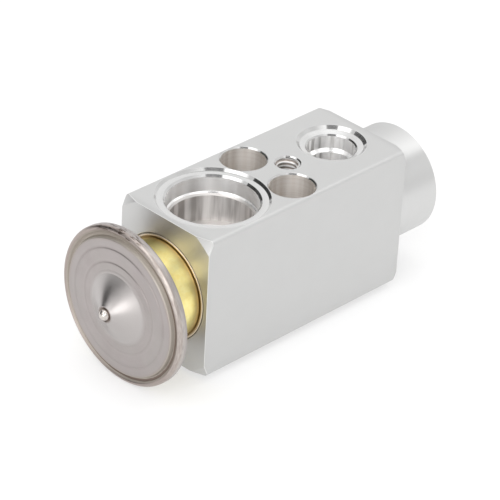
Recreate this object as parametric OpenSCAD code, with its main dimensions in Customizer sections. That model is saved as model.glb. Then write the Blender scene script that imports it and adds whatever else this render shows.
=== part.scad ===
// Block-type expansion valve with a screwed-in diaphragm power head.
// Lengths are in millimetres. The origin is the centre of the stud hole's mouth on the port face.
// +X runs along the valve axis from the power head to the adjuster, and +Z points out of the port face.
// Turned pieces are drawn as [radius, place] outlines, where place is counted along the valve axis
// from the block's head end and is negative outside the block.

/* [Block] */
// Length of the block along the valve axis
block_l = 68; // [66:0.5:76]
// Width of the block across the valve axis
block_w = 30; // [29:0.5:40]
// Height of the block from flange face to port face
block_h = 38; // [37:0.5:44]
// Radius of the four long edges
edge_r = 1; // [0.4:0.1:2]
// Depth of the turned cut on the corners of the head end
head_corner_cut = 1.5; // [0.5:0.1:2.5]
// Depth of the turned cut on the corners of the adjuster end
adjuster_corner_cut = 1.15; // [0.5:0.05:2.5]
// Slope of both turned corner cuts, from the end face
corner_angle = 30; // [20:1:45]
// Radius of the round spigot at the adjuster end
spigot_r = 14.4; // [11:0.1:15]
// Length of the spigot
spigot_l = 14.3; // [13:0.1:20]
// Edge break on the spigot's rim
spigot_chamfer = 0.5; // [0.2:0.1:1.2]

/* [Suction ports] */
// Metal between the head thread and the suction port bore
head_wall = 0.8; // [0.6:0.1:3]
// Radius of the port's mouth at the face
suction_mouth_r = 14.2; // [13.8:0.1:14.4]
// Outer radius of the ledge inside the mouth
suction_rim_r = 13.6; // [12.6:0.1:13.7]
// Inner radius of that ledge
suction_ledge_r = 12; // [11.8:0.1:12.4]
// Radius of the bore that seals on the pipe's O-ring
suction_seal_r = 11.45; // [11:0.05:11.7]
// Radius of the bore below it
suction_tube_r = 10.5; // [9:0.1:10.9]
// Radius of the passage between the two suction ports
suction_pass_r = 8; // [6.5:0.1:8.6]
// Edge break at both ends of that passage
suction_pass_break = 0.6; // [0.2:0.1:1]
// Depth of the ledge below the face
suction_rim_d = 0.6; // [0.3:0.05:1]
// Depth of the sealing bore
suction_seal_d = 5; // [4:0.1:7]
// Depth of the bore below it
suction_tube_d = 12.8; // [10:0.1:13]

/* [Liquid ports] */
// Distance of the inlet port from the stud hole
inlet_from_stud = 15.55; // [15:0.05:16.5]
// Radius of the port's mouth at the face
liquid_mouth_r = 8.8; // [8.4:0.1:9.4]
// Outer radius of the ledge inside the mouth
liquid_rim_r = 8; // [7.4:0.1:8.3]
// Inner radius of that ledge
liquid_ledge_r = 6.55; // [6.45:0.05:6.9]
// Radius of the bore that seals on the pipe's O-ring
liquid_seal_r = 6.2; // [5.8:0.05:6.4]
// Radius of the bore below it
liquid_tube_r = 5.3; // [4.8:0.05:5.7]
// Depth of the ledge below the face
liquid_rim_d = 0.75; // [0.3:0.05:1]
// Drop of the ledge towards the bore
liquid_ledge_drop = 0.55; // [0.2:0.05:0.8]
// Depth of the sealing bore
liquid_seal_d = 5.1; // [4:0.1:6.5]
// Depth of the bore below it
liquid_tube_d = 11.5; // [8:0.1:11.8]
// Radius of the hole from the inlet port into the valve chamber
inlet_drill_r = 3; // [2:0.1:3.5]
// Radius of the hole from the orifice down to the outlet port
outlet_drill_r = 2.4; // [1.8:0.1:2.5]
// Distance of the outlet port from that hole, towards the adjuster
outlet_offset = 2; // [0:0.1:2.7]

/* [Fixing holes] */
// Distance of the stud hole from the suction port
stud_from_suction = 25.55; // [25:0.05:27]
// Radius of the stud hole at the root of its M6 thread
stud_thread_r = 3; // [2.5:0.05:3.2]
// Width and depth of the chamfer at its mouth
stud_chamfer = 0.4; // [0.2:0.05:0.5]
// Depth of the stud hole's straight wall
stud_d = 13; // [8:0.5:13.5]
// Distance of the two screw holes from the stud hole, towards the head
screws_from_stud = 6.9; // [6.6:0.1:7.2]
// Distance between the two screw holes
screw_pitch = 16.8; // [16.6:0.1:17]
// Radius of the through holes, for M6 screws
screw_hole_r = 3.3; // [3:0.05:3.5]
// Radius of the recesses for the screw heads
screw_head_r = 5.7; // [5.2:0.05:5.8]
// Depth of those recesses
screw_head_d = 12.5; // [7:0.5:13]
// Edge break on the fixing holes
hole_chamfer = 0.4; // [0.1:0.05:0.4]

/* [Power head] */
// Radius of the head's rim
head_r = 20.6; // [19.6:0.1:24]
// Distance from the block to the back of the rim
head_gap = 11.3; // [9:0.1:16]
// Sheet thickness of the lower housing
base_t = 1.1; // [0.8:0.05:1.5]
// Sheet thickness of the lid
cap_t = 0.9; // [0.6:0.05:1.3]
// Thickness of the diaphragm
diaphragm_t = 0.15; // [0.1:0.05:0.3]
// Width of the rolled rim, from its crest to the groove
rim_w = 1.75; // [1.4:0.05:2.4]
// Height of the rolled rim above the lid's flange
rim_lip = 0.45; // [0.2:0.05:0.8]
// Edge radius at the back of the rim
rim_back_r = 0.5; // [0.2:0.05:0.7]
// Distance from the groove to the lid's raised face
cap_step_w = 0.95; // [0.7:0.05:1.5]
// Height of the lid's raised face over its flange
cap_step_h = 0.95; // [0.7:0.05:1.5]
// Radius of the lid's outer pressed ring
cap_ring_r = 15.4; // [13.5:0.1:16.5]
// Radius of the lid's inner pressed ring
cap_inner_ring_r = 11.8; // [10.4:0.1:13]
// Step of each pressed ring
cap_ring_h = 0.12; // [0.05:0.01:0.3]
// Radius of the cone's foot
cone_r = 9.4; // [7:0.1:10]
// Height of the cone
cone_h = 4.2; // [2:0.1:6]
// Radius of the flat at the cone's tip
cone_tip_r = 2.2; // [1.9:0.1:3]
// Radius of the ball that closes the charging hole
plug_r = 1.45; // [1.3:0.05:1.8]
// Radius of the charging hole
plug_hole_r = 1.2; // [0.6:0.05:1.4]
// Width of the flat rim between the cone and the countersink round the ball
plug_rim_w = 0.25; // [0.1:0.05:0.4]
// Depth of that countersink
plug_sink_d = 0.55; // [0.3:0.05:0.55]

/* [Head collar] */
// Radius of the collar between head and block
collar_r = 12.8; // [12.2:0.1:13.6]
// Gap round the collar in the block's recess
collar_gap = 1; // [0.5:0.1:1.2]
// Depth of the recess in the block's end
recess_d = 1.4; // [1.1:0.05:2]
// Distance that the collar's shoulder reaches into the recess
collar_reach = 0.5; // [0.4:0.05:0.6]
// Gap between the foot of the collar and the recess
collar_foot_gap = 0.15; // [0.1:0.05:0.3]
// Width and depth of the groove between the collar and the lip of its foot
collar_groove = 0.3; // [0.2:0.05:0.4]
// Radius of the head's thread
head_thread_r = 11; // [10:0.1:11.4]
// Length of the head's thread
head_thread_l = 2.9; // [2.4:0.1:5]
// Radius of the gas way through the collar
collar_bore_r = 6.5; // [5:0.1:8]
// Radius of the space for the stop plate
plate_space_r = 10.1; // [9:0.1:10.3]
// Depth of that space
plate_space_d = 2.4; // [2.1:0.1:4]
// Wall of the neck round that space, which fits the lower housing's hole
neck_wall = 0.9; // [0.7:0.05:1.4]

/* [Push train] */
// Travel of the valve from closed to fully open
lift = 0.8; // [0.3:0.1:1]
// Radius of the stop plate
plate_r = 9.5; // [7:0.1:9.7]
// Thickness of the stop plate
plate_t = 1.1; // [0.8:0.1:1.2]
// Radius of the sensing rod
rod_r = 3; // [2.2:0.1:3.4]
// Length of the rod's guide beyond its seal pocket
rod_guide_l = 4.6; // [3:0.1:6]
// Length of the pocket that holds the rod's seal
rod_pocket_l = 2.8; // [2.4:0.1:3.6]
// Section diameter of the rod's O-ring
rod_ring_d = 1.6; // [1:0.1:2]
// Thickness of the washer that keeps that O-ring in
retainer_t = 0.6; // [0.4:0.1:0.8]
// Radius of the push pin
pin_r = 1.1; // [0.7:0.05:1.2]
// Depth of the pin's seat in the rod
pin_seat_d = 2; // [1:0.1:4]
// Radial clearance of a sliding piece in its guide
slide_clear = 0.05; // [0.02:0.01:0.1]

/* [Valve and spring] */
// Distance of the chamber's floor from the inlet port, towards the head
inlet_from_seat = 4.3; // [3.6:0.1:5]
// Length of the seat bush
seat_l = 2.3; // [1.8:0.1:3]
// Outer radius of the seat bush
seat_r = 3.6; // [3.2:0.1:4.4]
// Radius of the metering orifice
orifice_r = 1.7; // [1.4:0.05:2]
// Radius of the valve ball
ball_r = 2.4; // [2.3:0.05:3]
// Gap between the closed ball and its seat
seat_gap = 0.05; // [0.05:0.05:0.3]
// Radius of the valve chamber
chamber_r = 5.6; // [5.3:0.1:5.9]
// Radius of the carrier's flange
carrier_r = 4.7; // [4:0.1:5]
// Thickness of the carrier's flange
carrier_flange_t = 1.2; // [0.8:0.1:2]
// Radius of the carrier's cup and of the stem that centres the spring
carrier_stem_r = 3; // [2.6:0.1:3.2]
// Length of that stem
carrier_stem_l = 3; // [1:0.1:6]
// Sheet thickness of the damper spring
damper_t = 0.25; // [0.15:0.05:0.4]
// Number of legs on the damper spring
damper_legs = 4; // [3:1:6]
// Wire diameter of the superheat spring
wire_d = 1.1; // [0.7:0.1:1.2]
// Outer radius of the superheat spring
spring_r = 4.6; // [4.3:0.1:4.8]
// Number of turns of the superheat spring
spring_turns = 7; // [5:0.5:9]

/* [Adjuster] */
// Depth of the screw's outer face in the spigot
screw_recess = 3; // [2:0.1:4]
// Length of the adjusting screw
screw_l = 12.9; // [12:0.1:14]
// Radius of the adjusting screw's thread
screw_thread_r = 8; // [7.7:0.1:9]
// Length of the threaded part
screw_thread_l = 6.4; // [6:0.1:6.6]
// Radius of the screw's plain nose
screw_nose_r = 7.2; // [6.8:0.1:7.5]
// Radius of the pocket that holds the spring
screw_pocket_r = 4.9; // [4.8:0.05:5.2]
// Thickness of metal between the spring pocket and the hexagon socket
screw_web = 2; // [1.5:0.1:3]
// Size of the hexagon socket across its flats
socket_af = 8; // [5:1:9]
// Depth of the hexagon socket
socket_d = 4.3; // [3:0.1:5]
// Section diameter of the screw's O-ring
screw_ring_d = 1.3; // [1:0.1:1.5]
// Advance of the screw in one turn
screw_pitch_l = 1; // [0.75:0.25:1.5]
// Turns of the screw each way from the middle setting
screw_turns = 1.5; // [1:0.25:1.5]
// Radial clearance of the screw in its bores
screw_clear = 0.05; // [0.02:0.01:0.1]

/* [Hidden] */
$fn = 96;

// How far a cutting tool runs past the face that it cuts
over = 1;
// Slope of a drill's point
drill_slope = tan(30);
// Drop of a port's funnel below its sealing bore, as a share of its width
funnel_drop = 0.8;
// Edge breaks of the small turned pieces, wide and narrow
wide_break = 0.3;
fine_break = 0.2;

// Colours as the photo shows them
aluminium = [0.80, 0.80, 0.79];
stainless = [0.69, 0.66, 0.65];
yellow_zinc = [0.85, 0.79, 0.52];
rubber_black = [0.12, 0.12, 0.12];
brass = [0.78, 0.66, 0.36];
steel = [0.62, 0.63, 0.64];

// Places along the valve axis, from the head end of the block
head_thread_end = recess_d + head_thread_l;
suction_x = head_thread_end + head_wall + suction_tube_r;
stud_x = suction_x + stud_from_suction;
inlet_x = stud_x + inlet_from_stud;
screws_x = stud_x - screws_from_stud;
axis_z = -block_h / 2;
corner_r = norm([block_w, block_h]) / 2;

// The orifice, the chamber and the hole to the outlet
seat_face_x = inlet_x - inlet_from_seat;
seat_back_x = seat_face_x - seat_l;
seat_back_wall = 0.8;
outlet_drill_x = seat_back_x - seat_back_wall - outlet_drill_r;
outlet_x = outlet_drill_x + outlet_offset;
seat_way_r = orifice_r + fine_break;
pin_bore_r = pin_r + slide_clear;

// The ball touches the seat's 45 degree edge where that edge is as wide as the orifice
seat_edge = 0.6;
ball_x = seat_face_x - seat_edge + ball_r / sqrt(2) + seat_gap;

// The carrier, the damper and the spring behind the ball
carrier_cup_w = 0.6;
carrier_x = ball_x + carrier_cup_w;
carrier_floor = 0.5;
carrier_flange_x = ball_x + ball_r + carrier_floor;
damper_x = carrier_flange_x + carrier_flange_t;
spring_x = damper_x + damper_t;

// The adjusting screw and the bores that it runs in
spigot_end = block_l + spigot_l;
screw_end_x = spigot_end - screw_recess;
screw_nose_x = screw_end_x - screw_l;
screw_travel = screw_pitch_l * screw_turns;
bore_room = 0.5;
nose_bore_r = screw_nose_r + screw_clear;
nose_bore_x = screw_nose_x - screw_travel - bore_room;
thread_bore_r = screw_thread_r + screw_clear;
screw_thread_x = screw_end_x - screw_thread_l;
screw_lead = 0.4;
thread_bore_x = screw_thread_x - screw_lead - screw_travel - bore_room;
pocket_floor_x = screw_end_x - socket_d - screw_web;
screw_lip = 0.9;
screw_ring_x = screw_nose_x + screw_lip + screw_ring_d / 2;

// The rod, its guide and its seal
pocket_start_x = suction_x + suction_pass_r;
pocket_end_x = pocket_start_x + rod_pocket_l;
guide_end_x = pocket_end_x + rod_guide_l;
rod_end_x = guide_end_x - lift - bore_room;
rod_pocket_r = rod_r + rod_ring_d;
retainer_x = pocket_end_x - rod_ring_d - retainer_t;

// The power head, from the back of its rim outwards
base_back_x = -head_gap;
base_front_x = base_back_x - base_t;
cap_back_x = base_front_x - diaphragm_t;
cap_front_x = cap_back_x - cap_t;
cap_face_x = cap_front_x - cap_step_h;
rim_front_x = cap_front_x - rim_lip;
groove_r = head_r - rim_w;
cap_face_r = groove_r - cap_step_w;
cone_foot_x = cap_face_x - 2 * cap_ring_h;
cone_tip_x = cone_foot_x - cone_h;
base_step = 0.5;
base_seat_w = 1.1;
base_step_r = groove_r - base_seat_w;
collar_top_x = base_back_x + base_step;
neck_r = plate_space_r + neck_wall;
plate_x = base_front_x + slide_clear;
plug_x = cone_tip_x + cap_t - sqrt(plug_r * plug_r - plug_hole_r * plug_hole_r);

// Points of an arc about c, from angle a0 to a1, in n steps
function arc(c, r, a0, a1, n) =
    [for (i = [0:n]) c + r * [cos(a0 + (a1 - a0) * i / n), sin(a0 + (a1 - a0) * i / n)]];

// Outline of a rectangle with rounded corners
function round_rect(w, h, r, n) = [
    each arc([w / 2 - r, h / 2 - r], r, 0, 90, n),
    each arc([r - w / 2, h / 2 - r], r, 90, 180, n),
    each arc([r - w / 2, r - h / 2], r, 180, 270, n),
    each arc([w / 2 - r, r - h / 2], r, 270, 360, n)];

// Outline that a port's stepped cutter sweeps, from above the face down to its floor
function port_outline(mouth_r, rim_r, ledge_r, seal_r, tube_r, rim_d, drop, seal_d, tube_d) = [
    [0, over],
    [mouth_r, over],
    [mouth_r, 0],
    [rim_r, -rim_d],
    [ledge_r, -rim_d - drop],
    [seal_r, -rim_d - drop - (ledge_r - seal_r)],
    [seal_r, -seal_d],
    [tube_r, -seal_d - funnel_drop * (seal_r - tube_r)],
    [tube_r, -tube_d],
    [0, -tube_d]];

// Outline of a blind hole with a chamfered mouth and a drill point
function drill_outline(r, chamfer, depth) = [
    [0, over],
    [r + chamfer + over, over],
    [r, -chamfer],
    [r, -depth],
    [0, -depth - r * drill_slope]];

// Puts a piece on the valve axis, with its own +Z along +X
module on_axis(x = 0) {
    translate([x - stud_x, 0, axis_z]) rotate([0, 90, 0]) children();
}

// A turned piece or cut on the valve axis
module turned(outline) {
    on_axis() rotate_extrude() polygon(outline);
}

// An O-ring on the valve axis
module ring(x, inner_r, section_d) {
    on_axis(x) rotate_extrude() translate([inner_r + section_d / 2, 0]) circle(d = section_d, $fn = 32);
}

// A turned cut that goes down from the port face
module from_port_face(x, outline) {
    translate([x - stud_x, 0, 0]) rotate_extrude() polygon(outline);
}

// The same cut from the flange face upwards
module from_flange_face(x, outline) {
    translate([x - stud_x, 0, -block_h]) mirror([0, 0, 1]) rotate_extrude() polygon(outline);
}

// The solid bar with its turned ends and spigot, before any hole
module blank() {
    head_circle_r = corner_r - head_corner_cut / tan(corner_angle);
    adjuster_circle_r = corner_r - adjuster_corner_cut / tan(corner_angle);
    intersection() {
        on_axis() linear_extrude(block_l) polygon(round_rect(block_h, block_w, edge_r, 6));
        turned([[0, 0], [head_circle_r, 0], [corner_r, head_corner_cut],
                [corner_r, block_l - adjuster_corner_cut], [adjuster_circle_r, block_l], [0, block_l]]);
    }
    turned([[0, block_l - over], [spigot_r, block_l - over], [spigot_r, spigot_end - spigot_chamfer],
            [spigot_r - spigot_chamfer, spigot_end], [0, spigot_end]]);
}

// Both suction ports and the passage that joins them
module suction_cuts() {
    outline = port_outline(suction_mouth_r, suction_rim_r, suction_ledge_r, suction_seal_r,
                           suction_tube_r, suction_rim_d, 0, suction_seal_d, suction_tube_d);
    from_port_face(suction_x, outline);
    from_flange_face(suction_x, outline);
    translate([suction_x - stud_x, 0, -block_h + over]) cylinder(r = suction_pass_r, h = block_h - 2 * over);
    pass_edge = [[0, over - suction_tube_d], [suction_pass_r + suction_pass_break, over - suction_tube_d],
                 [suction_pass_r + suction_pass_break, -suction_tube_d],
                 [suction_pass_r, -suction_tube_d - suction_pass_break],
                 [0, -suction_tube_d - suction_pass_break]];
    from_port_face(suction_x, pass_edge);
    from_flange_face(suction_x, pass_edge);
}

// Both liquid ports and the holes from their floors to the valve
module liquid_cuts() {
    outline = port_outline(liquid_mouth_r, liquid_rim_r, liquid_ledge_r, liquid_seal_r,
                           liquid_tube_r, liquid_rim_d, liquid_ledge_drop, liquid_seal_d, liquid_tube_d);
    from_port_face(inlet_x, outline);
    from_flange_face(outlet_x, outline);
    translate([inlet_x - stud_x, 0, axis_z]) cylinder(r = inlet_drill_r, h = block_h / 2 - over);
    from_flange_face(outlet_drill_x, [[0, 0], [outlet_drill_r, 0], [outlet_drill_r, axis_z - seat_way_r],
                                      [0, axis_z - seat_way_r - outlet_drill_r * drill_slope]]);
}

// The tapped stud hole and the two recessed screw holes
module fixing_cuts() {
    from_port_face(stud_x, drill_outline(stud_thread_r, stud_chamfer, stud_d));
    for (side = [-1, 1]) translate([screws_x - stud_x, side * screw_pitch / 2, 0]) {
        rotate_extrude() polygon([[0, over], [screw_head_r + hole_chamfer + over, over],
                                  [screw_head_r, -hole_chamfer], [screw_head_r, -screw_head_d],
                                  [0, -screw_head_d]]);
        translate([0, 0, -block_h]) cylinder(r = screw_hole_r, h = block_h - over);
        translate([0, 0, -block_h - over])
            cylinder(r1 = screw_hole_r + hole_chamfer + over, r2 = screw_hole_r, h = hole_chamfer + over);
    }
}

// The head's recess, thread and gas way
module head_cuts() {
    recess_r = collar_r + collar_gap;
    turned([[0, -over], [recess_r + fine_break + over, -over], [recess_r, fine_break],
            [recess_r, recess_d], [head_thread_r, recess_d], [head_thread_r, head_thread_end],
            [collar_bore_r, head_thread_end], [collar_bore_r, suction_x], [0, suction_x]]);
}

// The rod's seal pocket and guide, and the pin's bore beyond them
module rod_cuts() {
    turned([[0, suction_x], [rod_pocket_r, suction_x], [rod_pocket_r, pocket_end_x],
            [rod_r + slide_clear, pocket_end_x], [rod_r + slide_clear, guide_end_x],
            [pin_bore_r, guide_end_x], [pin_bore_r, outlet_drill_x], [0, outlet_drill_x]]);
}

// The way to the seat, the seat's bore, the chamber and the adjuster's two bores
module valve_cuts() {
    turned([[0, outlet_drill_x], [seat_way_r, outlet_drill_x], [seat_way_r, seat_back_x],
            [seat_r, seat_back_x], [seat_r, seat_face_x], [chamber_r, seat_face_x],
            [chamber_r, nose_bore_x - (nose_bore_r - chamber_r) / 2], [nose_bore_r, nose_bore_x],
            [nose_bore_r, thread_bore_x], [thread_bore_r, thread_bore_x],
            [thread_bore_r, spigot_end - spigot_chamfer],
            [thread_bore_r + spigot_chamfer + over, spigot_end + over], [0, spigot_end + over]]);
}

module valve_block() {
    color(aluminium) difference() {
        blank();
        suction_cuts();
        liquid_cuts();
        fixing_cuts();
        head_cuts();
        rod_cuts();
        valve_cuts();
    }
}

// The lid: flange, step, two pressed rings and the cone, as one sheet of even thickness
module head_cap() {
    bend_w = 0.3;
    foot_w = 0.45;
    foot_h = 0.25;
    sheet = [[groove_r, cap_front_x], [cap_face_r + bend_w, cap_front_x],
             [cap_face_r, cap_face_x + fine_break], [cap_face_r - bend_w, cap_face_x],
             [cap_ring_r, cap_face_x], [cap_ring_r - bend_w, cap_face_x - cap_ring_h],
             [cap_inner_ring_r, cap_face_x - cap_ring_h], [cap_inner_ring_r - bend_w, cone_foot_x],
             [cone_r + foot_w, cone_foot_x], [cone_r - foot_w, cone_foot_x - foot_h],
             [cone_tip_r, cone_tip_x]];
    bend_shift = 0.35 * cap_t;
    inner = [for (i = [len(sheet) - 1:-1:0]) sheet[i] + [i < 2 ? 0 : -bend_shift, cap_t]];
    color(stainless) difference() {
        turned([each sheet, [cone_tip_r - plug_rim_w, cone_tip_x], [plug_hole_r, cone_tip_x + plug_sink_d],
                [plug_hole_r, cone_tip_x + cap_t], each inner]);
        on_axis(plug_x) sphere(r = plug_r);
    }
}

// Ball welded into the charging hole at the cone's tip
module charge_plug() {
    color(steel) on_axis(plug_x) sphere(r = plug_r);
}

// The lower housing, with its edge rolled over the lid's flange
module head_base() {
    crest_slope_w = 0.75;
    crest_r = rim_w - crest_slope_w;
    color(stainless) turned([
        [groove_r, base_front_x],
        [groove_r, cap_front_x],
        each arc([head_r - crest_r, rim_front_x + crest_r], crest_r, 270, 360, 6),
        each arc([head_r - rim_back_r, base_back_x - rim_back_r], rim_back_r, 0, 90, 4),
        [base_step_r, base_back_x],
        [base_step_r - base_step, collar_top_x],
        [neck_r, collar_top_x],
        [neck_r, base_front_x + base_step],
        [base_step_r - base_step, base_front_x + base_step],
        [base_step_r, base_front_x]]);
}

// The threaded collar: neck in the lower housing, collar, foot with its lip, and thread
module head_collar() {
    neck_x = base_front_x + base_step;
    shoulder_x = collar_reach;
    thread_end_x = head_thread_end - wide_break;
    thread_break = 0.4;
    foot_r = collar_r + collar_gap - collar_foot_gap;
    foot_x = -0.1;
    lip_break = 0.12;
    color(yellow_zinc) turned([
        [plate_space_r, neck_x],
        [neck_r, neck_x],
        [neck_r, collar_top_x],
        [collar_r, collar_top_x],
        [collar_r, foot_x + collar_groove],
        [collar_r + collar_groove, foot_x + collar_groove],
        [collar_r + collar_groove, foot_x + lip_break],
        [collar_r + collar_groove + lip_break, foot_x],
        [foot_r - lip_break, foot_x],
        [foot_r, foot_x + lip_break],
        [foot_r, shoulder_x],
        [head_thread_r, shoulder_x],
        [head_thread_r, thread_end_x - thread_break],
        [head_thread_r - thread_break, thread_end_x],
        [collar_bore_r, thread_end_x],
        [collar_bore_r, neck_x + plate_space_d],
        [plate_space_r, neck_x + plate_space_d]]);
}

// The diaphragm, with two shallow ring waves between its clamped edge and its flat middle
module diaphragm() {
    wave_h = 0.15;
    wave_w = 1.2;
    flat_r = plate_r + 1;
    front = [[0, base_front_x], for (i = [0:4]) [flat_r + i * wave_w, base_front_x + (i % 2) * wave_h],
             [groove_r, base_front_x]];
    back = [for (i = [len(front) - 1:-1:0]) front[i] - [0, diaphragm_t]];
    color(steel) turned([each back, each front]);
}

// O-ring between the collar's shoulder and the floor of the block's recess
module head_seal() {
    section_d = recess_d - collar_reach;
    color(rubber_black) ring(collar_reach + section_d / 2, head_thread_r, section_d);
}

// Disc that the diaphragm pushes, with a boss that holds the rod's end
module stop_plate() {
    boss_w = 1.5;
    boss_l = 1.6;
    boss_r = rod_r + boss_w;
    boss_end_x = plate_x + plate_t + boss_l;
    color(brass) turned([
        [0, plate_x],
        [plate_r - wide_break, plate_x],
        [plate_r, plate_x + wide_break],
        [plate_r, plate_x + plate_t],
        [boss_r, plate_x + plate_t],
        [boss_r, boss_end_x],
        [rod_r, boss_end_x],
        [rod_r, plate_x + plate_t],
        [0, plate_x + plate_t]]);
}

// Rod from the stop plate across the suction passage into its guide
module sensing_rod() {
    rod_x = plate_x + plate_t;
    end_chamfer = 0.4;
    color(aluminium) turned([
        [0, rod_x],
        [rod_r, rod_x],
        [rod_r, rod_end_x - end_chamfer],
        [rod_r - end_chamfer, rod_end_x],
        [pin_r, rod_end_x],
        [pin_r, rod_end_x - pin_seat_d],
        [0, rod_end_x - pin_seat_d]]);
}

// O-ring between the suction passage and the liquid side
module rod_seal() {
    color(rubber_black) ring(pocket_end_x - rod_ring_d / 2, rod_r + slide_clear, rod_ring_d - slide_clear);
}

// Dished washer pressed into the pocket in front of the rod's O-ring
module rod_seal_retainer() {
    hole_r = rod_r + 6 * slide_clear;
    color(steel) turned([
        [hole_r, retainer_x],
        [rod_pocket_r - wide_break, retainer_x],
        [rod_pocket_r, retainer_x + fine_break],
        [rod_pocket_r, retainer_x + retainer_t],
        [hole_r, retainer_x + retainer_t]]);
}

// Pin from the rod through the orifice to the ball
module push_pin() {
    tip_x = ball_x - ball_r;
    color(steel) turned([
        [0, rod_end_x - pin_seat_d],
        [pin_r, rod_end_x - pin_seat_d],
        [pin_r, tip_x - fine_break],
        [pin_r - fine_break, tip_x],
        [0, tip_x]]);
}

// Bush with the metering orifice, pressed in at the chamber's floor
module valve_seat() {
    color(brass) turned([
        [orifice_r, seat_back_x],
        [seat_r - fine_break, seat_back_x],
        [seat_r, seat_back_x + fine_break],
        [seat_r, seat_face_x],
        [orifice_r + seat_edge, seat_face_x],
        [orifice_r, seat_face_x - seat_edge]]);
}

module valve_ball() {
    color(steel) on_axis(ball_x) sphere(r = ball_r);
}

// Cup for the ball, flange for the spring and a stem that centres it
module ball_carrier() {
    cup_r = carrier_stem_r;
    stem_end_x = spring_x + carrier_stem_l;
    stem_break = 0.6;
    color(brass) difference() {
        turned([
            [0, carrier_x],
            [cup_r - wide_break, carrier_x],
            [cup_r, carrier_x + wide_break],
            [cup_r, carrier_flange_x],
            [carrier_r, carrier_flange_x],
            [carrier_r, damper_x],
            [carrier_stem_r, damper_x],
            [carrier_stem_r, stem_end_x - stem_break],
            [carrier_stem_r - stem_break, stem_end_x],
            [0, stem_end_x]]);
        on_axis(ball_x) sphere(r = ball_r);
    }
}

// Leaf star clamped under the spring, whose bent legs rub on the chamber wall
module damper_spring() {
    leg_w = 1.4;
    foot_r = chamber_r - 3 * slide_clear;
    leg_r = carrier_r + slide_clear;
    bend_x = damper_x - carrier_flange_t;
    foot_drop = 1;
    leg_drop = 1.8;
    foot_x = bend_x - foot_drop;
    leg_end_x = bend_x - leg_drop;
    slant_t = 1.2 * damper_t;
    color(steel) {
        turned([
            [carrier_stem_r, damper_x],
            [leg_r, damper_x],
            [leg_r, spring_x],
            [carrier_stem_r, spring_x]]);
        for (i = [0:damper_legs - 1]) on_axis() rotate([0, 0, 45 + i * 360 / damper_legs])
            translate([0, leg_w / 2, 0]) rotate([90, 0, 0]) linear_extrude(leg_w) polygon([
                [leg_r - fine_break, spring_x],
                [leg_r - fine_break, damper_x],
                [leg_r, damper_x],
                [leg_r, bend_x],
                [foot_r - slant_t, foot_x],
                [leg_r, leg_end_x],
                [leg_r + damper_t, leg_end_x],
                [foot_r, foot_x],
                [leg_r + damper_t, bend_x],
                [leg_r + damper_t, spring_x]]);
    }
}

// Coil spring between the damper and the screw's pocket, with one closed turn at each end
module superheat_spring() {
    sides = 8;
    steps = 16;
    rings = spring_turns * steps;
    coil_r = spring_r - wire_d / 2;
    low = spring_x + wire_d / 2;
    high = pocket_floor_x - wire_d / 2;
    closed = wire_d;
    open_pitch = (high - low - 2 * closed) / (spring_turns - 2);
    function rise(t) = t < 1 ? closed * t
        : t > spring_turns - 1 ? high - low - closed * (spring_turns - t)
        : closed + open_pitch * (t - 1);
    points = [for (i = [0:rings], k = [0:sides - 1])
        let (turn = 360 * i / steps, r = coil_r + wire_d / 2 * cos(360 * k / sides))
        [r * cos(turn), r * sin(turn), low + rise(i / steps) + wire_d / 2 * sin(360 * k / sides)]];
    walls = [for (i = [0:rings - 1], k = [0:sides - 1])
        let (a = i * sides + k, b = i * sides + (k + 1) % sides)
        [a, b, b + sides, a + sides]];
    start_cap = [for (k = [sides - 1:-1:0]) k];
    end_cap = [for (k = [0:sides - 1]) rings * sides + k];
    color(steel) on_axis() polyhedron(points, [start_cap, each walls, end_cap], convexity = 10);
}

// Hollow screw: plain nose with the O-ring groove, spring pocket, thread and hexagon socket
module adjusting_screw() {
    groove_floor_r = screw_nose_r - screw_ring_d - screw_clear;
    groove_x = screw_ring_x - screw_ring_d / 2 - screw_clear;
    groove_end_x = screw_ring_x + screw_ring_d / 2 + screw_clear;
    color(brass) difference() {
        turned([
            [0, screw_nose_x],
            [screw_nose_r - wide_break, screw_nose_x],
            [screw_nose_r, screw_nose_x + wide_break],
            [screw_nose_r, screw_thread_x - screw_lead],
            [screw_thread_r - screw_lead, screw_thread_x - screw_lead],
            [screw_thread_r, screw_thread_x],
            [screw_thread_r, screw_end_x - screw_lead],
            [screw_thread_r - screw_lead, screw_end_x],
            [0, screw_end_x]]);
        turned([
            [0, screw_nose_x - over],
            [screw_pocket_r, screw_nose_x - over],
            [screw_pocket_r, pocket_floor_x],
            [0, pocket_floor_x]]);
        turned([
            [groove_floor_r, groove_x],
            [screw_nose_r + over, groove_x],
            [screw_nose_r + over, groove_end_x],
            [groove_floor_r, groove_end_x]]);
        on_axis(screw_end_x - socket_d) cylinder(d = socket_af / cos(30), h = socket_d + over, $fn = 6);
    }
}

// O-ring in the screw's groove, sealing in the plain bore
module adjuster_seal() {
    color(rubber_black) ring(screw_ring_x, screw_nose_r - screw_ring_d, screw_ring_d);
}

valve_block();
head_cap();
charge_plug();
head_base();
head_collar();
diaphragm();
head_seal();
stop_plate();
sensing_rod();
rod_seal();
rod_seal_retainer();
push_pin();
valve_seat();
valve_ball();
ball_carrier();
damper_spring();
superheat_spring();
adjusting_screw();
adjuster_seal();
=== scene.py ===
"""Looks for the block-type expansion valve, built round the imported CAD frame. Lengths are in mm."""

import math

import bmesh
import bpy
from mathutils import Matrix, Vector


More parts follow.
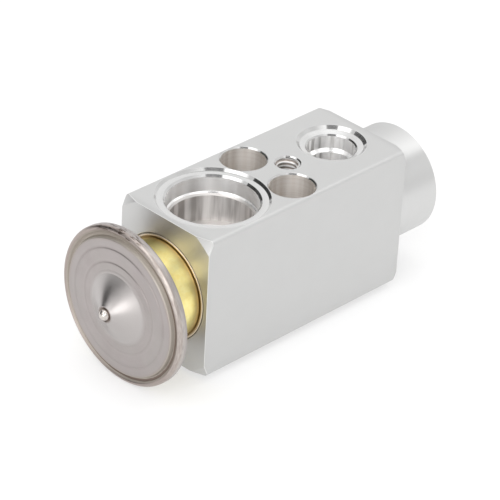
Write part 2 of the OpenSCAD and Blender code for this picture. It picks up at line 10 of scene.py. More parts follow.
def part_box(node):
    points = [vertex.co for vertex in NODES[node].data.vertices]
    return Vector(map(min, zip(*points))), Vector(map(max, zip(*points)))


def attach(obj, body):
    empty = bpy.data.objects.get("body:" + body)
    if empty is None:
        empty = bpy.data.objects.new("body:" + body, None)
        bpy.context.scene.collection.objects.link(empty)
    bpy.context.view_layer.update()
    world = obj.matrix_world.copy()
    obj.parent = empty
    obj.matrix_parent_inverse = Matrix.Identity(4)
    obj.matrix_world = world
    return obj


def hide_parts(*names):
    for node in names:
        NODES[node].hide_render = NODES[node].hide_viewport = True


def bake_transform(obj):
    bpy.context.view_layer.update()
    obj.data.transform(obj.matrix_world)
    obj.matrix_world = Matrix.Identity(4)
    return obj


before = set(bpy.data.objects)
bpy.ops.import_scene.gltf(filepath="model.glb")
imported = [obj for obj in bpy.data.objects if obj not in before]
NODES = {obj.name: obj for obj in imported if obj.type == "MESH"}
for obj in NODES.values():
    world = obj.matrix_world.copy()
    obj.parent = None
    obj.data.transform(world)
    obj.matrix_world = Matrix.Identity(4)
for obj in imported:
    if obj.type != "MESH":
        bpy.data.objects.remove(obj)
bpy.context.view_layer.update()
# The frame itself is in metres
MM = 0.001

# Places of the CAD model, in the row frame. The valve axis runs along X at height AXIS_Z, and the
# block's end faces stand at HEAD_END and ADJUSTER_END.
AXIS_Z, HALF_H = -19.0, 19.0
HEAD_END, ADJUSTER_END = -41.15, 26.85
SUCTION_X, INLET_X, OUTLET_X, SCREWS_X, SCREW_Y = -25.55, 15.55, 7.75, -6.9, 8.4
# Radii that just take in the mouth of each kind of bore
SUCTION_R, PIPE_R, STUD_R, SCREWS_R = 14.25, 8.85, 3.5, 6.0
# The turned corner cuts: depths that just take them in, then the radius in the head's end face and
# the rise along X
HEAD_CUT, ADJUSTER_CUT = 1.51, 1.16
CUT_R, CUT_SLOPE = 21.609, math.tan(math.radians(30))
# The power head: the foremost place of its rolled rim, and the plane between its front and its back
RIM_FRONT, HEAD_MIDDLE = HEAD_END - 13.9, HEAD_END - 13.0
FLOOR_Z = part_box("head_base")[0].z / MM


# ---------------------------------------------------------------- node helpers
class Value:
    """A shader socket that can be used in plain arithmetic."""

    def __init__(self, shader, socket):
        self.shader, self.socket = shader, socket

    def __add__(self, other):
        return self.shader.math("ADD", self, other)

    __radd__ = __add__

    def __sub__(self, other):
        return self.shader.math("SUBTRACT", self, other)

    def __rsub__(self, other):
        return self.shader.math("SUBTRACT", other, self)

    def __mul__(self, other):
        return self.shader.math("MULTIPLY", self, other)

    __rmul__ = __mul__

    def __truediv__(self, other):
        return self.shader.math("DIVIDE", self, other)


class Shader:
    """Builds one material's nodes. Positions are the object's own coordinates in millimetres."""

    def __init__(self, name):
        self.material = bpy.data.materials.new(name)
        self.material.use_nodes = True
        self.tree = self.material.node_tree
        self.tree.nodes.clear()
        self.output = self.tree.nodes.new("ShaderNodeOutputMaterial")
        self.coords = self.tree.nodes.new("ShaderNodeTexCoord")
        self.place = self.vector("SCALE", Value(self, self.coords.outputs["Object"]), scale=1 / MM)
        self.x, self.y, self.z = self.split(self.place)

    def link(self, value, socket):
        if isinstance(value, Value):
            self.tree.links.new(value.socket, socket)
        elif value is not None:
            socket.default_value = value

    def math(self, kind, *values):
        node = self.tree.nodes.new("ShaderNodeMath")
        node.operation = kind
        for socket, value in zip(node.inputs, values):
            self.link(value, socket)
        return Value(self, node.outputs[0])

    def vector(self, kind, *values, scale=None):
        node = self.tree.nodes.new("ShaderNodeVectorMath")
        node.operation = kind
        for socket, value in zip(node.inputs, values):
            self.link(value, socket)
        if scale is not None:
            self.link(scale, node.inputs["Scale"])
        return Value(self, node.outputs["Vector"])

    def join(self, x, y, z):
        node = self.tree.nodes.new("ShaderNodeCombineXYZ")
        for socket, value in zip(node.inputs, (x, y, z)):
            self.link(value, socket)
        return Value(self, node.outputs[0])

    def split(self, vector):
        node = self.tree.nodes.new("ShaderNodeSeparateXYZ")
        self.link(vector, node.inputs[0])
        return [Value(self, socket) for socket in node.outputs]

    def less(self, a, b):
        return self.math("LESS_THAN", a, b)

    def more(self, a, b):
        return self.math("GREATER_THAN", a, b)

    def most(self, first, *others):
        for other in others:
            first = self.math("MAXIMUM", first, other)
        return first

    def length(self, a, b):
        return self.math("SQRT", a * a + b * b)

    def from_axis(self):
        """Distance from the valve axis."""
        return self.length(self.y, self.z - AXIS_Z)

    def round_axis(self):
        """Direction of the marks that turning leaves round the valve axis."""
        return self.join(0.0, AXIS_Z - self.z, self.y)

    def upward(self):
        """0 where the surface is upright, 1 where it faces straight up or down."""
        return self.math("ABSOLUTE", self.split(Value(self, self.coords.outputs["Normal"]))[2])

    def spread(self, value, low, high, out_low, out_high, kind="LINEAR"):
        """Carries the range low to high over to out_low to out_high, and holds the ends beyond it."""
        node = self.tree.nodes.new("ShaderNodeMapRange")
        node.interpolation_type = kind
        for name, given in (("Value", value), ("From Min", low), ("From Max", high),
                            ("To Min", out_low), ("To Max", out_high)):
            self.link(given, node.inputs[name])
        return Value(self, node.outputs[0])

    def smooth(self, value, low, high, out_low=0.0, out_high=1.0):
        """A smooth step from out_low, where value is low, to out_high."""
        return self.spread(value, low, high, out_low, out_high, "SMOOTHSTEP")

    def band(self, value, centre, half, soft):
        """1 within half of centre, fading to 0 over soft."""
        off = self.math("ABSOLUTE", value - centre)
        return self.smooth(off, half, half + soft, 1.0, 0.0)

    def noise(self, vector, scale, detail=2.0, rough=0.5, low=0.3, high=0.7, out_low=0.0):
        """Noise from out_low to 1. It reaches these ends where the raw noise is at low and high."""
        node = self.tree.nodes.new("ShaderNodeTexNoise")
        for name, given in (("Vector", vector), ("Scale", scale), ("Detail", detail),
                            ("Roughness", rough)):
            self.link(given, node.inputs[name])
        return self.spread(Value(self, node.outputs["Fac"]), low, high, out_low, 1.0)

    def swing(self, vector, scale, detail=2.0, rough=0.5):
        """Noise from -1 to 1."""
        return self.noise(vector, scale, detail, rough, out_low=-1.0)

    def mix(self, share, a, b):
        """Colour a where share is 0 and b where it is 1."""
        node = self.tree.nodes.new("ShaderNodeMix")
        node.data_type = "RGBA"
        self.link(share, node.inputs["Factor"])
        for name, given in (("A", a), ("B", b)):
            socket = next(s for s in node.inputs if s.name == name and s.type == "RGBA")
            self.link(given if isinstance(given, Value) else (*given, 1.0), socket)
        return Value(self, next(s for s in node.outputs if s.type == "RGBA"))

    def bump(self, height, strength, distance, normal=None):
        node = self.tree.nodes.new("ShaderNodeBump")
        node.inputs["Strength"].default_value = strength
        node.inputs["Distance"].default_value = distance * MM
        self.link(height, node.inputs["Height"])
        self.link(normal, node.inputs["Normal"])
        return Value(self, node.outputs[0])

    def finish(self, colour, roughness, metallic=1.0, normal=None, tangent=None, anisotropic=0.0,
               **constants):
        node = self.tree.nodes.new("ShaderNodeBsdfPrincipled")
        self.link(colour if isinstance(colour, Value) else (*colour, 1.0), node.inputs["Base Color"])
        self.link(roughness, node.inputs["Roughness"])
        node.inputs["Metallic"].default_value = metallic
        node.inputs["Anisotropic"].default_value = anisotropic
        if tangent is not None:
            # the tangent follows the tool marks, and a quarter turn spreads the gloss across them
            node.inputs["Anisotropic Rotation"].default_value = 0.25
            self.link(tangent, node.inputs["Tangent"])
        self.link(normal, node.inputs["Normal"])
        for name, given in constants.items():
            node.inputs[name.replace("_", " ")].default_value = given
        self.tree.links.new(node.outputs[0], self.output.inputs[0])
        return self.material


# ---------------------------------------------------------------- materials
def block_aluminium():
    """Milled aluminium: satin long faces, turned ends and spigot, bright bored ports."""
    s = Shader("block_aluminium")
    from_axis = s.from_axis()
    upper = s.more(s.z, AXIS_Z)

    # the bores that stand across the block, each with its own centre and reach
    pipe_x = INLET_X * upper + OUTLET_X * (1.0 - upper)
    in_suction = s.less(s.length(s.x - SUCTION_X, s.y), SUCTION_R)
    in_pipe = s.less(s.length(s.x - pipe_x, s.y), PIPE_R)
    in_stud = s.less(s.length(s.x, s.y), STUD_R)
    in_screw = s.less(s.length(s.x - SCREWS_X, s.math("ABSOLUTE", s.y) - SCREW_Y), SCREWS_R)
    in_bore = s.most(in_suction, in_pipe, in_stud, in_screw)
    centre_x = in_suction * SUCTION_X + in_pipe * pipe_x + in_screw * SCREWS_X
    centre_y = in_screw * s.math("SIGN", s.y) * SCREW_Y
    off_x, off_y = s.x - centre_x, s.y - centre_y
    bore_r = s.length(off_x, off_y)

    # the turned ends: head end with its recess, adjuster end with the spigot
    head_end = s.less(s.x, HEAD_END + HEAD_CUT)
    adjuster_end = s.more(s.x, ADJUSTER_END - ADJUSTER_CUT)
    turned = s.most(head_end, adjuster_end) * (1.0 - in_bore)
    plain = 1.0 - s.most(turned, in_bore)

    # fine marks: along X on the long faces, round the axis on turned ones, round each bore in it
    tangent = s.vector("ADD", s.vector("SCALE", s.join(centre_y - s.y, off_x, 0.0), scale=in_bore),
                       s.vector("SCALE", s.round_axis(), scale=turned))
    tangent = s.vector("ADD", tangent, s.join(plain, 0.0, 0.0))
    streaks = s.swing(s.vector("MULTIPLY", s.place, (0.06, 1.0, 1.0)), 2.6, 3.0, 0.65)
    mottle = s.swing(s.place, 0.16)
    grain = s.swing(s.place, 5.0, 2.0, 0.7)
    ring_x = s.swing(s.join(from_axis, s.x, 0.0), 2.2, 3.0, 0.7)
    ring_z = s.swing(s.join(bore_r, s.z, centre_x), 2.4, 3.0, 0.7)

    # upright streaks on the bores' walls: painted reflection streaks in the colour, and a spread in the
    # roughness
    spoke = s.vector("NORMALIZE", s.join(off_x, off_y, 0.0))
    round_bore = s.vector("ADD", s.vector("SCALE", spoke, scale=5.5), s.join(0.0, 0.0, s.z * 0.04))
    upright = s.swing(round_bore, 1.0, 3.0, 0.6) * s.smooth(s.upward(), 0.3, 0.6, 1.0, 0.0)

    # tone: random mottle, grain and tool marks, and in the bores the painted reflection streaks
    light = 0.05 * mottle + plain * (0.03 * streaks + 0.03 * grain) + turned * 0.08 * ring_x
    light = light + in_bore * (0.12 * ring_z + 0.38 * upright)
    base = s.mix(0.5 + light, (0.60, 0.60, 0.595), (0.68, 0.68, 0.675))
    # the spigot is painted a little lighter, as painted light
    base = s.mix(0.9 * s.more(s.x, ADJUSTER_END + 0.01), base, (0.71, 0.71, 0.705))

    # depths in the bores, from the nearer long face: start of the wall, which the ports' ledges put
    # lower, the funnel in it as its middle and half its height, and the change to the suction tube
    wall_start, suction_ledge, pipe_ledge = 0.42, 0.75, 1.25
    suction_funnel, pipe_funnel, suction_tube = (5.2, 0.14), (5.42, 0.36), (5.25, 5.45)
    depth = HALF_H - s.math("ABSOLUTE", s.z - AXIS_Z)
    below_edge = depth - (wall_start + in_suction * suction_ledge + in_pipe * pipe_ledge)
    wall = s.smooth(below_edge, -0.02, 0.06)
    funnel = (in_suction * s.band(depth, *suction_funnel, 0.04)
              + in_pipe * s.band(depth, *pipe_funnel, 0.04))
    satin = wall * (1.0 - funnel)
    bored = s.mix(0.5 + light, (0.90, 0.89, 0.88), (1.0, 0.995, 0.99))
    colour = s.mix(in_bore * (0.15 + 0.85 * wall), base, bored)
    # the suction tube, the pipe bores and the screw recesses take the painted reflection streaks into
    # their colour
    tube = s.mix(0.38 + 0.8 * upright, (0.48, 0.45, 0.43), (0.97, 0.94, 0.92))
    colour = s.mix(0.85 * in_suction * s.smooth(depth, *suction_tube), colour, tube)
    piped = s.mix(0.75 + upright, (0.42, 0.41, 0.40), (1.0, 0.995, 0.99))
    colour = s.mix(0.7 * in_pipe * satin, colour, piped)
    recess = s.mix(0.45 + 0.25 * upright + 0.4 * ring_z, (0.74, 0.67, 0.61), (1.0, 0.97, 0.93))
    colour = s.mix(0.7 * in_screw * wall, colour, recess)

    # painted shade in the stud hole: its wall is darker and browner in the roots between the thread's
    # ridges
    thread_root_shade = in_stud * s.smooth(bore_r, 2.6, 2.9) * s.smooth(s.z, -1.0, -0.4, 1.0, 0.0)
    colour = s.mix(0.7 * thread_root_shade, colour, (0.34, 0.26, 0.21))

    # painted highlight along the edges of the head end and of its turned corner cuts. The thin limits
    # keep it off the end face and the cuts themselves, and recess_r out of the collar's recess.
    end_highlight_reach, cut_highlight_reach, recess_r = 0.2, 0.45, 14.95
    from_cut = from_axis - (CUT_R + (s.x - HEAD_END) / CUT_SLOPE)
    along_cut = s.more(from_cut, -cut_highlight_reach) * s.less(s.x, HEAD_END + HEAD_CUT + 0.09)
    painted_edge_highlight = s.most(s.less(s.x, HEAD_END + end_highlight_reach), along_cut) * s.less(from_cut, -0.04)
    painted_edge_highlight = painted_edge_highlight * s.more(s.x, HEAD_END + 0.01) * s.more(from_axis, recess_r)
    colour = s.mix(0.6 * painted_edge_highlight, colour, (0.96, 0.96, 0.95))

    dull = satin * (0.28 + 0.09 * in_pipe + 0.03 * in_screw + 0.05 * upright)
    rough = plain * (0.38 + 0.03 * streaks) + turned * (0.40 + 0.03 * ring_x)
    rough = rough + in_bore * (0.13 + 0.02 * ring_z + dull)
    height = plain * (0.5 * streaks + 0.5 * grain) + turned * ring_x + in_bore * ring_z
    return s.finish(colour, rough, tangent=tangent, anisotropic=0.85, normal=s.bump(height, 0.25, 0.01))


def head_stainless():
    """Pressed stainless sheet of the power head: dull, faintly ringed, tinted by the rim's weld."""
    # radii on the lid, from the cone's flank outwards to the rolled rim
    flank_r, cone_r, ring_radii = 5.8, 9.4, (15.35, 11.75)
    line_r, flange_r, groove_r, crest_r, back_r = 17.95, 18.5, 18.72, 19.5, 20.4

    s = Shader("head_stainless")
    r = s.from_axis()
    front = s.less(s.x, HEAD_MIDDLE)
    blotch = s.swing(s.place, 0.22, 3.0, 0.55)
    fine = s.swing(s.place, 3.0, 3.0, 0.7)
    rings = s.swing(s.join(r, s.x, 0.0), 1.6, 3.0, 0.7)
    sheet = 0.5 + 0.25 * blotch + 0.12 * rings + 0.06 * fine
    colour = s.mix(sheet, (0.36, 0.322, 0.315), (0.46, 0.42, 0.415))
    tinge = s.noise(s.vector("ADD", s.place, (9.0, 4.0, 7.0)), 0.17)
    colour = s.mix(0.35 * tinge, colour, (0.405, 0.395, 0.37))
    waves = s.noise(s.join(r, 0.0, 0.0), 0.7, 1.0)
    colour = s.mix(0.25 * waves * front, colour, (0.48, 0.44, 0.43))

    # the drawn cone is painted brighter than the flat sheet round it as painted light, and burnt round
    # the ball, with painted shade in the crevice there
    cone = s.smooth(r, cone_r - 1.0, cone_r + 0.4, 1.0, 0.0) * front
    colour = s.mix(0.8 * cone, colour, (0.51, 0.485, 0.475))
    # weld burn round the ball, darkened further as painted shade in the crevice
    burn_and_crevice_shade = s.smooth(r + 0.1 * fine, 1.7, 2.4, 1.0, 0.0) * front
    colour = s.mix(0.7 * burn_and_crevice_shade, colour, (0.13, 0.085, 0.06))

    # heat tint near the rim's weld, pressed rings with painted shade that grows towards the top, and the
    # dark line inside the flange
    heat = s.smooth(r + 0.3 * blotch, 16.8, 18.4) * front
    colour = s.mix(0.4 * heat, colour, (0.36, 0.27, 0.22))
    steps = sum(s.band(r, ring_r, 0.10, 0.40) for ring_r in ring_radii) * front
    # painted shade on the pressed rings, stronger towards the top
    colour = s.mix(s.smooth(s.z, -30.0, -8.0, 0.04, 0.26) * steps, colour, (0.24, 0.20, 0.19))
    line = s.band(r, line_r, 0.03, 0.10) * front
    colour = s.mix(0.25 * line, colour, (0.16, 0.12, 0.10))

    # rolled edge: broken weld trace along its crest with a painted highlight on the crest's upper -Y
    # side, duller at its back, scorched at its top
    from_rim = s.x - RIM_FRONT
    crest = s.smooth(r, crest_r, crest_r + 0.3) * s.smooth(from_rim, 1.5, 2.1, 1.0, 0.0)
    spoke = s.vector("NORMALIZE", s.join(0.0, s.y, s.z - AXIS_Z))
    along = s.vector("ADD", s.vector("SCALE", spoke, scale=9.0), s.join(2.2 * (r + from_rim), 0.0, 0.0))
    spots = s.noise(along, 1.0, 3.0, 0.6, low=0.40, high=0.62)
    weld_trace_and_highlight = crest * s.smooth(s.y, -12.0, 4.0, 1.0, 0.15) * s.smooth(s.z, -38.0, -22.0, 0.1, 1.0)
    # painted highlight on the crest's upper -Y side, broken by the weld's spots
    colour = s.mix((0.10 + 0.60 * spots) * weld_trace_and_highlight, colour, (0.59, 0.545, 0.505))
    scorch = crest * s.smooth(s.z, -2.5, 0.5) * s.smooth(s.y, -7.5, -3.5)
    colour = s.mix(0.85 * scorch * s.smooth(spots, 0.05, 0.35, 1.0, 0.0), colour, (0.09, 0.065, 0.05))
    # the back is darker and browner than the front
    colour = s.mix(0.5 * (1.0 - front) * s.less(r, back_r), colour, (0.33, 0.28, 0.24))

    # the flange between the rolled edge and the raised face is duller, with painted shade in its groove,
    # strongest on the lower -Y side
    flange = s.band(r, flange_r, 0.7, 0.3) * front
    colour = s.mix(0.6 * flange, colour, (0.50, 0.47, 0.41))
    low_side = s.smooth(s.y + s.z - AXIS_Z, -10.0, 10.0, 1.0, 0.3)
    # painted shade in the groove
    groove_shade = s.band(r + 0.06 * blotch, groove_r, 0.20, 0.22) * front * low_side
    colour = s.mix(0.75 * groove_shade, colour, (0.15, 0.10, 0.08))

    # the cone is drawn a little hollow
    inward = s.math("MINIMUM", r, cone_r) - flank_r
    hollow = s.bump(0.026 * inward * inward * front, 1.0, 1.0)
    rough = 0.33 + 0.04 * blotch + 0.03 * rings + 0.01 * cone + 0.27 * flange
    height = (0.3 * rings + 0.12 * fine) * (1.0 - cone) + weld_trace_and_highlight * spots
    return s.finish(colour, rough, tangent=s.round_axis(), anisotropic=0.12,
                    normal=s.bump(height, 0.3, 0.012, hollow))


def collar_yellow():
    """Steel with a yellow passivated zinc coat."""
    lip_r = 13.1
    s = Shader("collar_yellow_zinc")
    r = s.from_axis()
    cloud = s.noise(s.place, 0.35, 3.0, 0.6)
    smudge = s.noise(s.vector("MULTIPLY", s.place, (0.5, 1.0, 1.0)), 0.5, 4.0, 0.6, low=0.5, high=0.75)
    colour = s.mix(cloud, (0.92, 0.76, 0.27), (1.0, 0.90, 0.42))
    colour = s.mix(0.2 * smudge, colour, (0.50, 0.48, 0.28))
    # browner towards the block as a painted reflection, with hardly any yellow left on the foot's lip
    colour = s.mix(s.smooth(s.x, HEAD_END - 2.6, HEAD_END - 0.6, 0.0, 0.6), colour, (0.72, 0.54, 0.26))
    lip = s.smooth(r, lip_r - 0.15, lip_r) * s.more(s.x, HEAD_END - 1.0)
    colour = s.mix(0.9 * lip, colour, (0.80, 0.71, 0.60))
    # painted shade: a dark band on the collar just in front of its foot's lip, by the block
    crease_shade = s.smooth(s.x, HEAD_END - 0.5, HEAD_END - 0.2) * s.less(r, lip_r + 0.01)
    colour = s.mix(0.8 * crease_shade, colour, (0.30, 0.20, 0.09))
    rings = s.swing(s.join(r, s.x, 0.0), 3.0, 2.0, 0.6)
    return s.finish(colour, 0.30 + 0.06 * smudge + 0.12 * lip, tangent=s.round_axis(), anisotropic=0.4,
                    normal=s.bump(rings, 0.3, 0.01))


def turned_metal(name, low, high, rough):
    """A small turned piece on the valve axis, with marks round it."""
    s = Shader(name)
    rings = s.swing(s.join(s.from_axis(), s.x, 0.0), 3.0, 3.0, 0.7)
    blotch = s.swing(s.place, 0.6)
    colour = s.mix(0.5 + 0.3 * rings + 0.2 * blotch, low, high)
    return s.finish(colour, rough + 0.04 * rings, tangent=s.round_axis(), anisotropic=0.5,
                    normal=s.bump(rings, 0.3, 0.01))


def seal_rubber():
    """Matt black rubber of the O-rings."""
    s = Shader("seal_rubber")
    fine = s.noise(s.place, 4.0, 3.0, 0.6)
    colour = s.mix(fine, (0.015, 0.015, 0.016), (0.03, 0.03, 0.031))
    return s.finish(colour, 0.45 + 0.15 * fine, metallic=0.0, normal=s.bump(fine, 0.2, 0.02))


LOOKS = {
    "block_aluminium": block_aluminium(),
    "head_stainless": head_stainless(),
    "collar_yellow_zinc": collar_yellow(),
    "inner_steel": turned_metal("inner_steel", (0.55, 0.51, 0.48), (0.70, 0.66, 0.62), 0.22),
    "inner_brass": turned_metal("inner_brass", (0.62, 0.44, 0.16), (0.76, 0.58, 0.27), 0.24),
    "rod_aluminium": turned_metal("rod_aluminium", (0.74, 0.74, 0.73), (0.86, 0.86, 0.85), 0.2),
    "seal_rubber": seal_rubber(),
}
for node in NODES.values():
    for holder in node.material_slots:
        name = holder.material.name.split(".")[0] if holder.material else ""
        if name in LOOKS:
            holder.material = LOOKS[name]


# ---------------------------------------------------------------- threads and spring
THREAD_STEPS = 48
PITCH = 1.0
SCREW_ROOT_R, SCREW_CREST_R = 7.5, 8.0
# Edges with a sharper turn than this are drawn hard
SHARP_ANGLE = math.radians(32)

# Places of the spigot and the adjusting screw along the valve axis, in the row frame
SPIGOT_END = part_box("valve_block")[1].x / MM
SCREW_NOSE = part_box("adjusting_screw")[0].x / MM
SCREW_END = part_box("adjusting_screw")[1].x / MM
SCREW_START = SCREW_END - 6.4


def on_valve_axis(t, r, angle):
    """Point at place t along the valve axis, turned right-handed about +X."""
    return (t, r * math.cos(angle), AXIS_Z + r * math.sin(angle))


def on_stud_axis(t, r, angle):
    """Point at height t on the stud hole's axis, turned right-handed about +Z."""
    return (r * math.cos(angle), r * math.sin(angle), t)


def skin(mesh, rings):
    """Closes a row of rings into a shell. An end ring of one point is a tip, any other a flat end."""
    count = max(len(ring) for ring in rings)
    for a, b in zip(rings, rings[1:]):
        for i in range(count):
            j = (i + 1) % count
            if len(a) == 1:
                mesh.faces.new((a[0], b[i], b[j]))
            elif len(b) == 1:
                mesh.faces.new((a[i], b[0], a[j]))
            else:
                mesh.faces.new((a[i], b[i], b[j], a[j]))
    for ring in (rings[0], rings[-1]):
        if len(ring) > 1:
            mesh.faces.new(ring)


def add_ridge(mesh, place, start, end, base_r, crest_r, base_w, crest_w, phase=0.0):
    """A closed right-handed thread ridge. Its base lies just inside the metal, and both its ends
    fade over half a turn."""
    turns = (end - start) / PITCH
    fade, least = 0.5, 0.02
    rings = []
    for i in range(int(turns * THREAD_STEPS) + 1):
        turn = i / THREAD_STEPS
        grown = max(min(1.0, turn / fade, (turns - turn) / fade + least), least)
        top = base_r + (crest_r - base_r) * grown
        half_top = (base_w + (crest_w - base_w) * grown) / 2
        middle = start + turn * PITCH
        angle = 2 * math.pi * (turn + phase)
        outline = ((base_r, base_w / 2), (top, half_top), (top, -half_top), (base_r, -base_w / 2))
        rings.append([mesh.verts.new(place(middle + across, r, angle)) for r, across in outline])
    skin(mesh, rings)


def made_piece(name, mesh, body, slot):
    """Turns built geometry into a piece that takes its slot's look. It rides on a body, if one
    is given."""
    bmesh.ops.recalc_face_normals(mesh, faces=mesh.faces)
    mesh.transform(Matrix.Scale(MM, 4))
    data = bpy.data.meshes.new(name)
    mesh.to_mesh(data)
    mesh.free()
    data.materials.append(LOOKS[slot])
    piece = bpy.data.objects.new(name, data)
    bpy.context.scene.collection.objects.link(piece)
    data.shade_smooth()
    data.set_sharp_from_angle(angle=SHARP_ANGLE)
    if body:
        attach(piece, body)
    return piece


def stud_thread():
    """The M6 thread on the wall of the stud hole."""
    mesh = bmesh.new()
    add_ridge(mesh, on_stud_axis, start=-12.6, end=-0.45, base_r=3.02, crest_r=2.52,
              base_w=0.84, crest_w=0.26)
    made_piece("stud_thread", mesh, "valve_body", "block_aluminium")


def spigot_thread():
    """The inner thread of the spigot."""
    mesh = bmesh.new()
    add_ridge(mesh, on_valve_axis, start=SCREW_START - 0.5, end=SPIGOT_END - 0.75, base_r=8.07,
              crest_r=7.6, base_w=0.79, crest_w=0.25, phase=0.5)
    made_piece("spigot_thread", mesh, "valve_body", "block_aluminium")


def adjusting_screw():
    """The screw with its thread: body, hexagon socket, spring pocket and seal groove as in the CAD."""
    steps, flat_angle = 96, math.pi / 3
    socket_apothem, socket_mouth_r, socket_lead, socket_floor = 4.0, 4.9, 0.25, SCREW_END - 4.3
    pocket_r, pocket_floor = 4.9, SCREW_END - 6.3
    nose_r, nose_break = 7.2, 0.3
    groove_r, groove_start, groove_end = 5.85, SCREW_NOSE + 0.85, SCREW_NOSE + 0.85 + 1.4
    lead = 0.4
    # (place along the axis, radius, hexagonal or round), from the pocket's floor round to the socket's
    outline = [
        (pocket_floor, 0.0, False), (pocket_floor, pocket_r, False),
        (SCREW_NOSE, pocket_r, False), (SCREW_NOSE, nose_r - nose_break, False),
        (SCREW_NOSE + nose_break, nose_r, False), (groove_start, nose_r, False),
        (groove_start, groove_r, False), (groove_end, groove_r, False), (groove_end, nose_r, False),
        (SCREW_START - lead, nose_r, False), (SCREW_START - 0.1, SCREW_ROOT_R, False),
        (SCREW_END - lead, SCREW_ROOT_R, False), (SCREW_END, SCREW_ROOT_R - lead, False),
        (SCREW_END, socket_mouth_r, False), (SCREW_END - socket_lead, socket_apothem, True),
        (socket_floor, socket_apothem, True), (socket_floor, 0.0, False)]
    mesh = bmesh.new()
    rings = []
    for t, r, hexagonal in outline:
        ring = []
        for i in range(steps if r else 1):
            angle = 2 * math.pi * i / steps
            off_flat = (angle + math.pi / 2) % flat_angle - flat_angle / 2
            reach = r / math.cos(off_flat) if hexagonal else r
            ring.append(mesh.verts.new(on_valve_axis(t, reach, angle)))
        rings.append(ring)
    skin(mesh, rings)
    add_ridge(mesh, on_valve_axis, start=SCREW_START + 0.3, end=SCREW_END - 0.5,
              base_r=SCREW_ROOT_R - 0.03, crest_r=SCREW_CREST_R, base_w=0.71, crest_w=0.13)
    screw = made_piece("adjusting_screw_threaded", mesh, "adjuster", "inner_brass")
    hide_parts("adjusting_screw")


def superheat_spring():
    """The coil spring, split at its middle turn. Neither half is attached to a body."""
    wire_r, coil_r, turns, steps, sides = 0.55, 4.05, 7, 24, 12
    spring_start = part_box("superheat_spring")[0].x / MM
    spring_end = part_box("superheat_spring")[1].x / MM
    low, reach = spring_start + wire_r, spring_end - spring_start - 2 * wire_r
    closed = 2 * wire_r
    open_pitch = (reach - 2 * closed) / (turns - 2)
    middle = turns * steps // 2

    def rise(turn):
        """Rise of the wire's centre after so many turns. The first and the last turn lie closed."""
        if turn < 1:
            return closed * turn
        if turn > turns - 1:
            return reach - closed * (turns - turn)
        return closed + open_pitch * (turn - 1)

    split = low + rise(middle / steps)
    halves = (("superheat_spring_low", 0, middle, "push_train", spring_start + 2 * closed),
              ("superheat_spring_high", middle, turns * steps, "adjuster_ring", spring_end - 2 * closed))
    for name, first, last, body, held in halves:
        mesh = bmesh.new()
        rings = []
        for i in range(first, last + 1):
            angle = 2 * math.pi * i / steps - math.pi / 2
            ring = []
            for k in range(sides):
                round_wire = 2 * math.pi * k / sides
                across = low + rise(i / steps) + wire_r * math.sin(round_wire)
                out = coil_r + wire_r * math.cos(round_wire)
                ring.append(mesh.verts.new(on_valve_axis(across, out, angle)))
            rings.append(ring)
        skin(mesh, rings)
        half = made_piece(name, mesh, None, "inner_steel")
        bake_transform(half)
        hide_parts("superheat_spring")


stud_thread()
spigot_thread()
adjusting_screw()
superheat_spring()


# ---------------------------------------------------------------- stage, lights and camera
# Dark and bright places of the studio round the object: direction, inner and outer half angle in
# degrees, strength
PATCHES = [
    ((0.0, 0.0, 1.0), 15, 40, 1.7),
    ((0.62, -0.74, 0.20), 10, 38, 0.94),
    ((0.62, -0.13, 0.77), 7, 18, 2.0),
    ((0.62, 0.585, 0.523), 20, 55, 1.05),
    ((-0.65, 0.05, 0.76), 14, 26, 2.2),
    ((-0.45, -0.42, 0.79), 11, 15, 0.25),
    ((-0.36, -0.34, 0.87), 12, 16, 0.25),
    ((-0.44, 0.71, 0.55), 6, 11, 0.04),
    ((-0.32, 0.82, 0.46), 6, 11, 0.04),
    ((-0.20, 0.91, 0.36), 6, 11, 0.04),
    ((-0.06, 0.96, 0.26), 6, 11, 0.04),
    ((0.08, 0.99, 0.15), 6, 11, 0.04),
    ((-0.56, 0.82, 0.09), 16, 24, 0.01),
    ((-0.83, 0.54, 0.12), 6, 18, 0.12),
]
WORLD_STRENGTH = 0.8
FLOOR_GLOW, FLOOR_HALF_SIZE = 0.50, 3000

# The camera that fits the photo: angles in degrees, then the point it looks at and how far off it is
AZIMUTH, ELEVATION, ROLL = (math.radians(angle) for angle in (-46.679, 31.53, 3.323))
CAMERA_AIM, CAMERA_DISTANCE = (-7.15, 0, -19.04), 722.57
SENSOR, LENS, SHIFT_X, SHIFT_Y = 36, 210.63, -0.02633, -0.02268


def stage_floor():
    """A matt white floor at the lowest point of the head's rim."""
    side = FLOOR_HALF_SIZE * MM
    mesh = bpy.data.meshes.new("floor")
    corners = [(-side, -side, 0), (side, -side, 0), (side, side, 0), (-side, side, 0)]
    mesh.from_pydata(corners, [], [(0, 1, 2, 3)])
    floor = bpy.data.objects.new("floor", mesh)
    floor.location = (0, 0, FLOOR_Z * MM)
    bpy.context.scene.collection.objects.link(floor)
    s = Shader("floor_white")
    s.finish((0.50, 0.50, 0.50), 0.9, metallic=0.0, Specular_IOR_Level=0.0)
    # the camera, metal and glass see a whiter floor, which still keeps the object's shadow
    path = s.tree.nodes.new("ShaderNodeLightPath")
    rays = ("Is Camera Ray", "Is Glossy Ray", "Is Transmission Ray")
    seen = s.most(*(Value(s, path.outputs[ray]) for ray in rays))
    glow = s.tree.nodes.new("ShaderNodeEmission")
    s.link(seen * FLOOR_GLOW, glow.inputs["Strength"])
    both = s.tree.nodes.new("ShaderNodeAddShader")
    s.tree.links.new(s.output.inputs[0].links[0].from_socket, both.inputs[0])
    s.tree.links.new(glow.outputs[0], both.inputs[1])
    s.tree.links.new(both.outputs[0], s.output.inputs[0])
    mesh.materials.append(s.material)


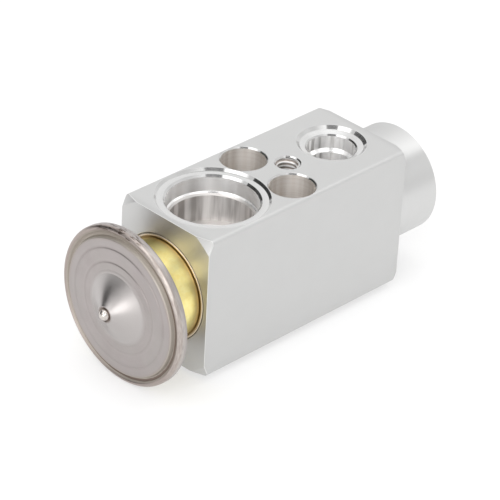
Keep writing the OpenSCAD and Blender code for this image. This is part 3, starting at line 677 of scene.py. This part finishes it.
def world_light():
    """The studio: a white room whose patches light the object, and which the camera sees as white."""
    world = bpy.data.worlds.new("studio")
    bpy.context.scene.world = world
    world.use_nodes = True
    tree = world.node_tree
    tree.nodes.clear()
    coords = tree.nodes.new("ShaderNodeTexCoord")
    level = tree.nodes.new("ShaderNodeValue").outputs[0]
    level.default_value = WORLD_STRENGTH
    for direction, inner, outer, strength in PATCHES:
        dot = tree.nodes.new("ShaderNodeVectorMath")
        dot.operation = "DOT_PRODUCT"
        tree.links.new(coords.outputs["Generated"], dot.inputs[0])
        dot.inputs[1].default_value = Vector(direction).normalized()
        edge = tree.nodes.new("ShaderNodeMapRange")
        edge.interpolation_type = "SMOOTHSTEP"
        tree.links.new(dot.outputs["Value"], edge.inputs["Value"])
        edge.inputs["From Min"].default_value = math.cos(math.radians(outer))
        edge.inputs["From Max"].default_value = math.cos(math.radians(inner))
        patch = tree.nodes.new("ShaderNodeMix")
        tree.links.new(edge.outputs[0], patch.inputs[0])
        tree.links.new(level, patch.inputs[2])
        patch.inputs[3].default_value = strength
        level = patch.outputs[0]
    lit = tree.nodes.new("ShaderNodeBackground")
    tree.links.new(level, lit.inputs["Strength"])
    seen = tree.nodes.new("ShaderNodeBackground")
    for node in (lit, seen):
        node.inputs["Color"].default_value = (1, 1, 1, 1)
    path = tree.nodes.new("ShaderNodeLightPath")
    mix = tree.nodes.new("ShaderNodeMixShader")
    out = tree.nodes.new("ShaderNodeOutputWorld")
    tree.links.new(path.outputs["Is Camera Ray"], mix.inputs[0])
    tree.links.new(lit.outputs[0], mix.inputs[1])
    tree.links.new(seen.outputs[0], mix.inputs[2])
    tree.links.new(mix.outputs[0], out.inputs[0])


def softbox(name, direction, distance, size, power):
    """A round lamp that shines on the middle of the block."""
    light = bpy.data.lights.new(name, "AREA")
    light.shape, light.size, light.energy = "DISK", size * MM, power
    lamp = bpy.data.objects.new(name, light)
    away = Vector(direction).normalized()
    lamp.location = (Vector((0, 0, AXIS_Z)) + away * distance) * MM
    lamp.rotation_mode = "QUATERNION"
    lamp.rotation_quaternion = away.to_track_quat("Z", "Y")
    bpy.context.scene.collection.objects.link(lamp)


def camera():
    """The camera at the photo's angle."""
    back = Vector((math.sin(AZIMUTH) * math.cos(ELEVATION), -math.cos(AZIMUTH) * math.cos(ELEVATION),
                   math.sin(ELEVATION)))
    right = Vector((math.cos(AZIMUTH), math.sin(AZIMUTH), 0))
    up = back.cross(right)
    turned_right = right * math.cos(ROLL) + up * math.sin(ROLL)
    turned_up = up * math.cos(ROLL) - right * math.sin(ROLL)
    data = bpy.data.cameras.new("camera")
    data.sensor_width, data.lens = SENSOR, LENS
    data.shift_x, data.shift_y = SHIFT_X, SHIFT_Y
    cam = bpy.data.objects.new("camera", data)
    turn = Matrix((turned_right, turned_up, back)).transposed()
    place = (Vector(CAMERA_AIM) + back * CAMERA_DISTANCE) * MM
    cam.matrix_world = Matrix.Translation(place) @ turn.to_4x4()
    bpy.context.scene.collection.objects.link(cam)
    bpy.context.scene.camera = cam


stage_floor()
world_light()
softbox("key", (-0.75, -0.75, 0.75), distance=900, size=550, power=1.8)
softbox("low", (-0.96, -0.18, 0.06), distance=400, size=200, power=0.20)
camera()
bpy.context.scene.view_settings.view_transform = "Standard"
